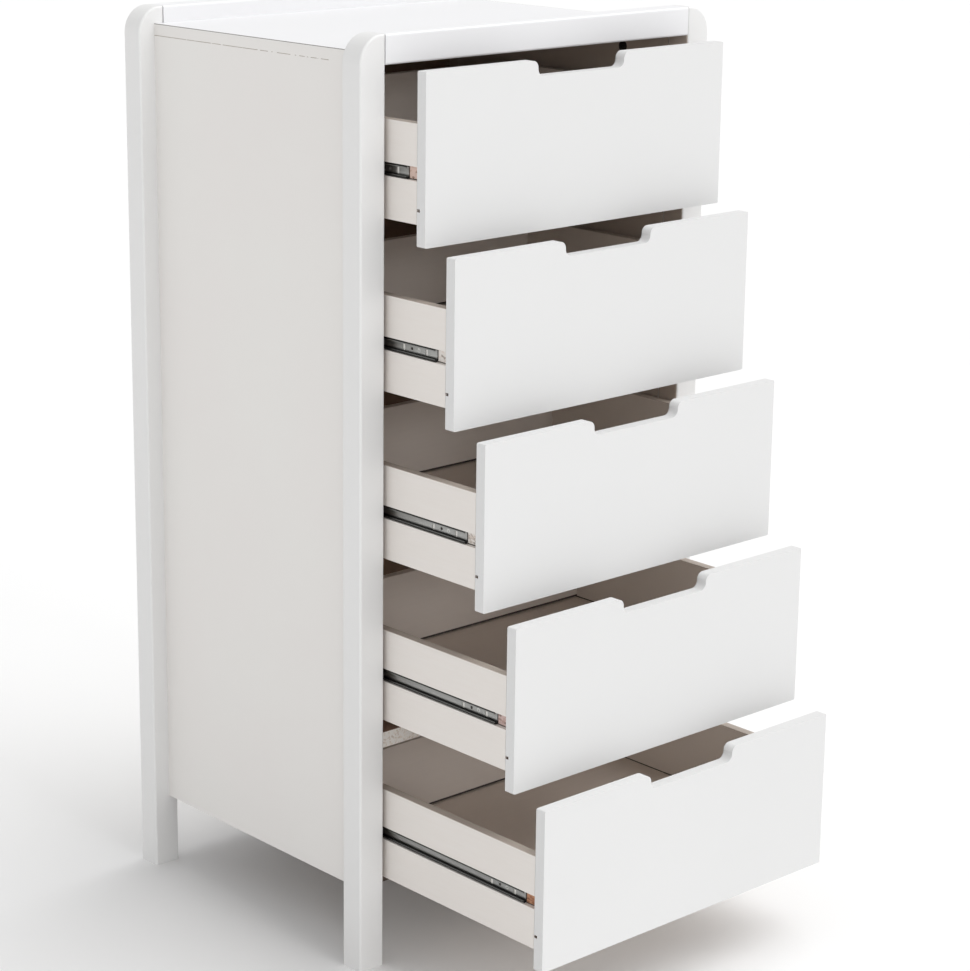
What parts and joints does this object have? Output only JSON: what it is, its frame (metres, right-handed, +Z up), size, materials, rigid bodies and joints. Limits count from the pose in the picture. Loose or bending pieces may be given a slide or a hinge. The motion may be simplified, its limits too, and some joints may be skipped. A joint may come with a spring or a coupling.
{
  "type": "chest of drawers",
  "caption": "Tall white chest on square legs whose notched drawers slide on ball-bearing groove runners and stand open in a staircase.",
  "frame": {"origin": "on the floor, at the centre of the bounding box at rest, with the drawers open as stored", "axes": "+X to the right as seen by someone who faces the drawers, +Y towards the back of the chest, +Z up; the drawers open towards -Y"},
  "size_m": [0.6, 0.769, 1.2],
  "materials": {
    "white_paint": "board lacquered satin white",
    "white_foil_board": "thin fibreboard with a white face",
    "drawer_foil": "board with a matt greige foil, raw at its ends",
    "drawer_inside": "board with a matt greige foil",
    "raw_board": "raw particle board",
    "zinc_steel": "zinc-plated sheet steel",
    "cage_steel": "bright strip with polished balls",
    "beech_dowel": "plain beech"
  },
  "bodies": {
    "carcass": {"front_left_post": "white_paint", "front_right_post": "white_paint", "back_left_post": "white_paint", "back_right_post": "white_paint", "front_top_rail": "white_paint", "back_top_rail": "white_paint", "top_panel": "white_paint", "left_side_panel": "white_paint", "right_side_panel": "white_paint", "back_panel": "white_foil_board", "tie_rail": "raw_board", "low_front_rail": "raw_board", "low_back_rail": "raw_board", "cam_fittings": "zinc_steel", "dowels": "beech_dowel", "runner_1_rails": "zinc_steel", "runner_2_rails": "zinc_steel", "runner_3_rails": "zinc_steel", "runner_4_rails": "zinc_steel", "runner_5_rails": "zinc_steel"},
    "drawer_1": {"drawer_1_front": "white_paint", "drawer_1_left_side": "drawer_foil", "drawer_1_right_side": "drawer_foil", "drawer_1_back": "drawer_inside", "drawer_1_bottom": "drawer_inside", "drawer_1_channels": "zinc_steel", "drawer_1_screws": "zinc_steel"},
    "drawer_2": {"drawer_2_front": "white_paint", "drawer_2_left_side": "drawer_foil", "drawer_2_right_side": "drawer_foil", "drawer_2_back": "drawer_inside", "drawer_2_bottom": "drawer_inside", "drawer_2_channels": "zinc_steel", "drawer_2_screws": "zinc_steel"},
    "drawer_3": {"drawer_3_front": "white_paint", "drawer_3_left_side": "drawer_foil", "drawer_3_right_side": "drawer_foil", "drawer_3_back": "drawer_inside", "drawer_3_bottom": "drawer_inside", "drawer_3_channels": "zinc_steel", "drawer_3_screws": "zinc_steel"},
    "drawer_4": {"drawer_4_front": "white_paint", "drawer_4_left_side": "drawer_foil", "drawer_4_right_side": "drawer_foil", "drawer_4_back": "drawer_inside", "drawer_4_bottom": "drawer_inside", "drawer_4_channels": "zinc_steel", "drawer_4_screws": "zinc_steel"},
    "drawer_5": {"drawer_5_front": "white_paint", "drawer_5_left_side": "drawer_foil", "drawer_5_right_side": "drawer_foil", "drawer_5_back": "drawer_inside", "drawer_5_bottom": "drawer_inside", "drawer_5_channels": "zinc_steel", "drawer_5_screws": "zinc_steel"},
    "cages_1": {"runner_1_cages": "cage_steel"},
    "cages_2": {"runner_2_cages": "cage_steel"},
    "cages_3": {"runner_3_cages": "cage_steel"},
    "cages_4": {"runner_4_cages": "cage_steel"},
    "cages_5": {"runner_5_cages": "cage_steel"}
  },
  "joints": [
    {"name": "drawer_1_slide", "type": "slide", "parent": "carcass", "child": "drawer_1", "axis": [0, -1, 0], "range_m": [-0.069, 0.223]},
    {"name": "drawer_2_slide", "type": "slide", "parent": "carcass", "child": "drawer_2", "axis": [0, -1, 0], "range_m": [-0.1225, 0.1695]},
    {"name": "drawer_3_slide", "type": "slide", "parent": "carcass", "child": "drawer_3", "axis": [0, -1, 0], "range_m": [-0.1785, 0.1135]},
    {"name": "drawer_4_slide", "type": "slide", "parent": "carcass", "child": "drawer_4", "axis": [0, -1, 0], "range_m": [-0.236, 0.056]},
    {"name": "drawer_5_slide", "type": "slide", "parent": "carcass", "child": "drawer_5", "axis": [0, -1, 0], "range_m": [-0.291, 0.001]},
    {"name": "cages_1_slide", "type": "slide", "parent": "carcass", "child": "cages_1", "axis": [0, -1, 0], "range_m": [-0.0345, 0.1115]},
    {"name": "cages_2_slide", "type": "slide", "parent": "carcass", "child": "cages_2", "axis": [0, -1, 0], "range_m": [-0.06125, 0.08475]},
    {"name": "cages_3_slide", "type": "slide", "parent": "carcass", "child": "cages_3", "axis": [0, -1, 0], "range_m": [-0.08925, 0.05675]},
    {"name": "cages_4_slide", "type": "slide", "parent": "carcass", "child": "cages_4", "axis": [0, -1, 0], "range_m": [-0.118, 0.028]},
    {"name": "cages_5_slide", "type": "slide", "parent": "carcass", "child": "cages_5", "axis": [0, -1, 0], "range_m": [-0.1455, 0.0005]}
  ],
  "couplings": [
    {"joint": "cages_1_slide", "follows": "drawer_1_slide", "ratio": 0.5},
    {"joint": "cages_2_slide", "follows": "drawer_2_slide", "ratio": 0.5},
    {"joint": "cages_3_slide", "follows": "drawer_3_slide", "ratio": 0.5},
    {"joint": "cages_4_slide", "follows": "drawer_4_slide", "ratio": 0.5},
    {"joint": "cages_5_slide", "follows": "drawer_5_slide", "ratio": 0.5}
  ]
}
